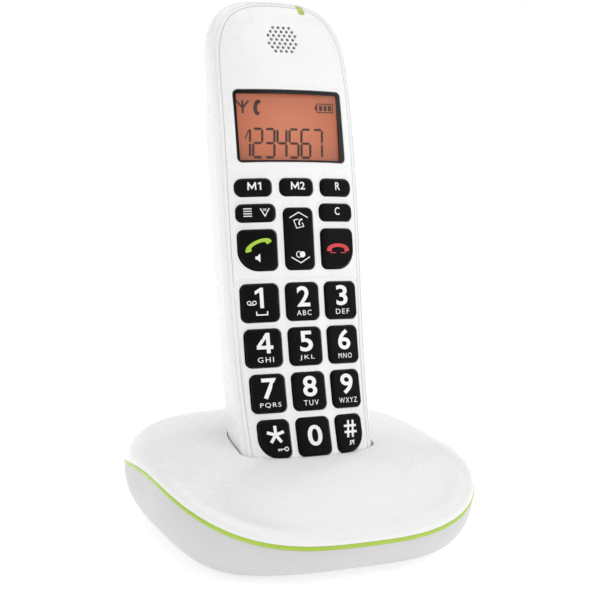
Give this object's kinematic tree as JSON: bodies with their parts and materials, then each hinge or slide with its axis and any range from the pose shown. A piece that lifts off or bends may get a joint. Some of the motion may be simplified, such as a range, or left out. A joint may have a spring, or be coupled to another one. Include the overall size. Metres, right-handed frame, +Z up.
{
  "type": "cordless phone with base",
  "caption": "Big-key cordless telephone handset leaning in a pebble-shaped charging base, with display, lift-off handset and pressing keys.",
  "frame": {"origin": "middle of the base where it stands on the table", "axes": "+Z up, the keys and the front of the base face -Y, +X to the right of someone facing the keys"},
  "size_m": [0.115, 0.1079, 0.1831],
  "materials": {
    "backlight": "milky light guide",
    "board": "green circuit board",
    "brass": "brass",
    "capacitor": "sleeved capacitor cans",
    "cell": "sleeved rechargeable cells",
    "dark_plastic": "dark moulded plastic",
    "feet": "dark rubber",
    "gold_contact": "gold plated contact",
    "green_lens": "lime green translucent plastic",
    "green_trim": "lime green plastic",
    "key_black": "satin black key caps with printed legends",
    "lcd": "amber lit display glass",
    "mat": "grey silicone rubber",
    "mic": "aluminium capsule",
    "shield": "tinned steel shield",
    "speaker": "dark speaker frame",
    "steel": "zinc plated steel",
    "white_gloss": "glossy moulded white plastic",
    "white_satin": "satin moulded white plastic",
    "window_black": "black-edged clear window"
  },
  "bodies": {
    "base": {"base_top_shell": "white_gloss", "base_trim": "green_trim", "base_bottom_shell": "white_satin", "base_feet": "feet", "base_pcb": "board", "base_screws": "steel", "base_shield": "shield", "base_capacitors": "capacitor", "line_socket": "dark_plastic", "power_socket": "dark_plastic", "page_switch": "dark_plastic", "contact_block": "dark_plastic"},
    "handset": {"handset_front_shell": "white_gloss", "handset_rear_shell": "white_gloss", "indicator_lens": "green_lens", "display_window": "window_black", "lcd_glass": "lcd", "lcd_backlight": "backlight", "earpiece_speaker": "speaker", "ringer_speaker": "speaker", "microphone": "mic", "handset_pcb": "board", "handset_screws": "steel", "screw_inserts": "brass", "keypad_mat": "mat", "antenna": "brass", "charging_pads": "gold_contact", "battery_tray": "white_satin", "battery_cells": "cell", "battery_contacts": "steel"},
    "battery_door": {"battery_door": "white_gloss"},
    "page_button": {"page_button": "white_satin"},
    "charging_pins": {"charging_pins": "gold_contact"},
    "key_m1": {"key_m1": "key_black"},
    "key_m2": {"key_m2": "key_black"},
    "key_r": {"key_r": "key_black"},
    "key_menu": {"key_menu": "key_black"},
    "key_c": {"key_c": "key_black"},
    "key_talk": {"key_talk": "key_black"},
    "key_end": {"key_end": "key_black"},
    "key_rocker": {"key_rocker": "key_black"},
    "key_1": {"key_1": "key_black"},
    "key_2": {"key_2": "key_black"},
    "key_3": {"key_3": "key_black"},
    "key_4": {"key_4": "key_black"},
    "key_5": {"key_5": "key_black"},
    "key_6": {"key_6": "key_black"},
    "key_7": {"key_7": "key_black"},
    "key_8": {"key_8": "key_black"},
    "key_9": {"key_9": "key_black"},
    "key_star": {"key_star": "key_black"},
    "key_0": {"key_0": "key_black"},
    "key_hash": {"key_hash": "key_black"}
  },
  "joints": [
    {"name": "handset_lift", "type": "slide", "parent": "base", "child": "handset", "axis": [0, 0.2588, 0.9659], "range_m": [0, 0.12]},
    {"name": "key_m1_press", "type": "slide", "parent": "handset", "child": "key_m1", "axis": [0, -0.9659, 0.2588], "range_m": [-0.0008, 0], "stiffness_N_per_m": 400, "springref_m": 0.0003},
    {"name": "key_m2_press", "type": "slide", "parent": "handset", "child": "key_m2", "axis": [0, -0.9659, 0.2588], "range_m": [-0.0008, 0], "stiffness_N_per_m": 400, "springref_m": 0.0003},
    {"name": "key_r_press", "type": "slide", "parent": "handset", "child": "key_r", "axis": [0, -0.9659, 0.2588], "range_m": [-0.0008, 0], "stiffness_N_per_m": 400, "springref_m": 0.0003},
    {"name": "key_menu_press", "type": "slide", "parent": "handset", "child": "key_menu", "axis": [0, -0.9659, 0.2588], "range_m": [-0.0008, 0], "stiffness_N_per_m": 400, "springref_m": 0.0003},
    {"name": "key_c_press", "type": "slide", "parent": "handset", "child": "key_c", "axis": [0, -0.9659, 0.2588], "range_m": [-0.0008, 0], "stiffness_N_per_m": 400, "springref_m": 0.0003},
    {"name": "key_talk_press", "type": "slide", "parent": "handset", "child": "key_talk", "axis": [0, -0.9659, 0.2588], "range_m": [-0.0008, 0], "stiffness_N_per_m": 400, "springref_m": 0.0003},
    {"name": "key_end_press", "type": "slide", "parent": "handset", "child": "key_end", "axis": [0, -0.9659, 0.2588], "range_m": [-0.0008, 0], "stiffness_N_per_m": 400, "springref_m": 0.0003},
    {"name": "key_rocker_tilt", "type": "hinge", "parent": "handset", "child": "key_rocker", "pos_m": [0, 0.01185, 0.10208], "axis": [1, 0, 0], "range_deg": [-2.5, 2.5], "stiffness_Nm_per_rad": 0.35},
    {"name": "key_1_press", "type": "slide", "parent": "handset", "child": "key_1", "axis": [0, -0.9659, 0.2588], "range_m": [-0.0008, 0], "stiffness_N_per_m": 400, "springref_m": 0.0003},
    {"name": "key_2_press", "type": "slide", "parent": "handset", "child": "key_2", "axis": [0, -0.9659, 0.2588], "range_m": [-0.0008, 0], "stiffness_N_per_m": 400, "springref_m": 0.0003},
    {"name": "key_3_press", "type": "slide", "parent": "handset", "child": "key_3", "axis": [0, -0.9659, 0.2588], "range_m": [-0.0008, 0], "stiffness_N_per_m": 400, "springref_m": 0.0003},
    {"name": "key_4_press", "type": "slide", "parent": "handset", "child": "key_4", "axis": [0, -0.9659, 0.2588], "range_m": [-0.0008, 0], "stiffness_N_per_m": 400, "springref_m": 0.0003},
    {"name": "key_5_press", "type": "slide", "parent": "handset", "child": "key_5", "axis": [0, -0.9659, 0.2588], "range_m": [-0.0008, 0], "stiffness_N_per_m": 400, "springref_m": 0.0003},
    {"name": "key_6_press", "type": "slide", "parent": "handset", "child": "key_6", "axis": [0, -0.9659, 0.2588], "range_m": [-0.0008, 0], "stiffness_N_per_m": 400, "springref_m": 0.0003},
    {"name": "key_7_press", "type": "slide", "parent": "handset", "child": "key_7", "axis": [0, -0.9659, 0.2588], "range_m": [-0.0008, 0], "stiffness_N_per_m": 400, "springref_m": 0.0003},
    {"name": "key_8_press", "type": "slide", "parent": "handset", "child": "key_8", "axis": [0, -0.9659, 0.2588], "range_m": [-0.0008, 0], "stiffness_N_per_m": 400, "springref_m": 0.0003},
    {"name": "key_9_press", "type": "slide", "parent": "handset", "child": "key_9", "axis": [0, -0.9659, 0.2588], "range_m": [-0.0008, 0], "stiffness_N_per_m": 400, "springref_m": 0.0003},
    {"name": "key_star_press", "type": "slide", "parent": "handset", "child": "key_star", "axis": [0, -0.9659, 0.2588], "range_m": [-0.0008, 0], "stiffness_N_per_m": 400, "springref_m": 0.0003},
    {"name": "key_0_press", "type": "slide", "parent": "handset", "child": "key_0", "axis": [0, -0.9659, 0.2588], "range_m": [-0.0008, 0], "stiffness_N_per_m": 400, "springref_m": 0.0003},
    {"name": "key_hash_press", "type": "slide", "parent": "handset", "child": "key_hash", "axis": [0, -0.9659, 0.2588], "range_m": [-0.0008, 0], "stiffness_N_per_m": 400, "springref_m": 0.0003},
    {"name": "battery_door_slide", "type": "slide", "parent": "handset", "child": "battery_door", "axis": [0, -0.2588, -0.9659], "range_m": [0, 0.007]},
    {"name": "page_button_press", "type": "slide", "parent": "base", "child": "page_button", "axis": [0, 1, 0], "range_m": [-0.0008, 0], "stiffness_N_per_m": 400, "springref_m": 0.0003},
    {"name": "charging_pins_press", "type": "slide", "parent": "base", "child": "charging_pins", "axis": [0, 0.2588, 0.9659], "range_m": [-0.0012, 0], "stiffness_N_per_m": 200, "springref_m": 0.0003}
  ]
}
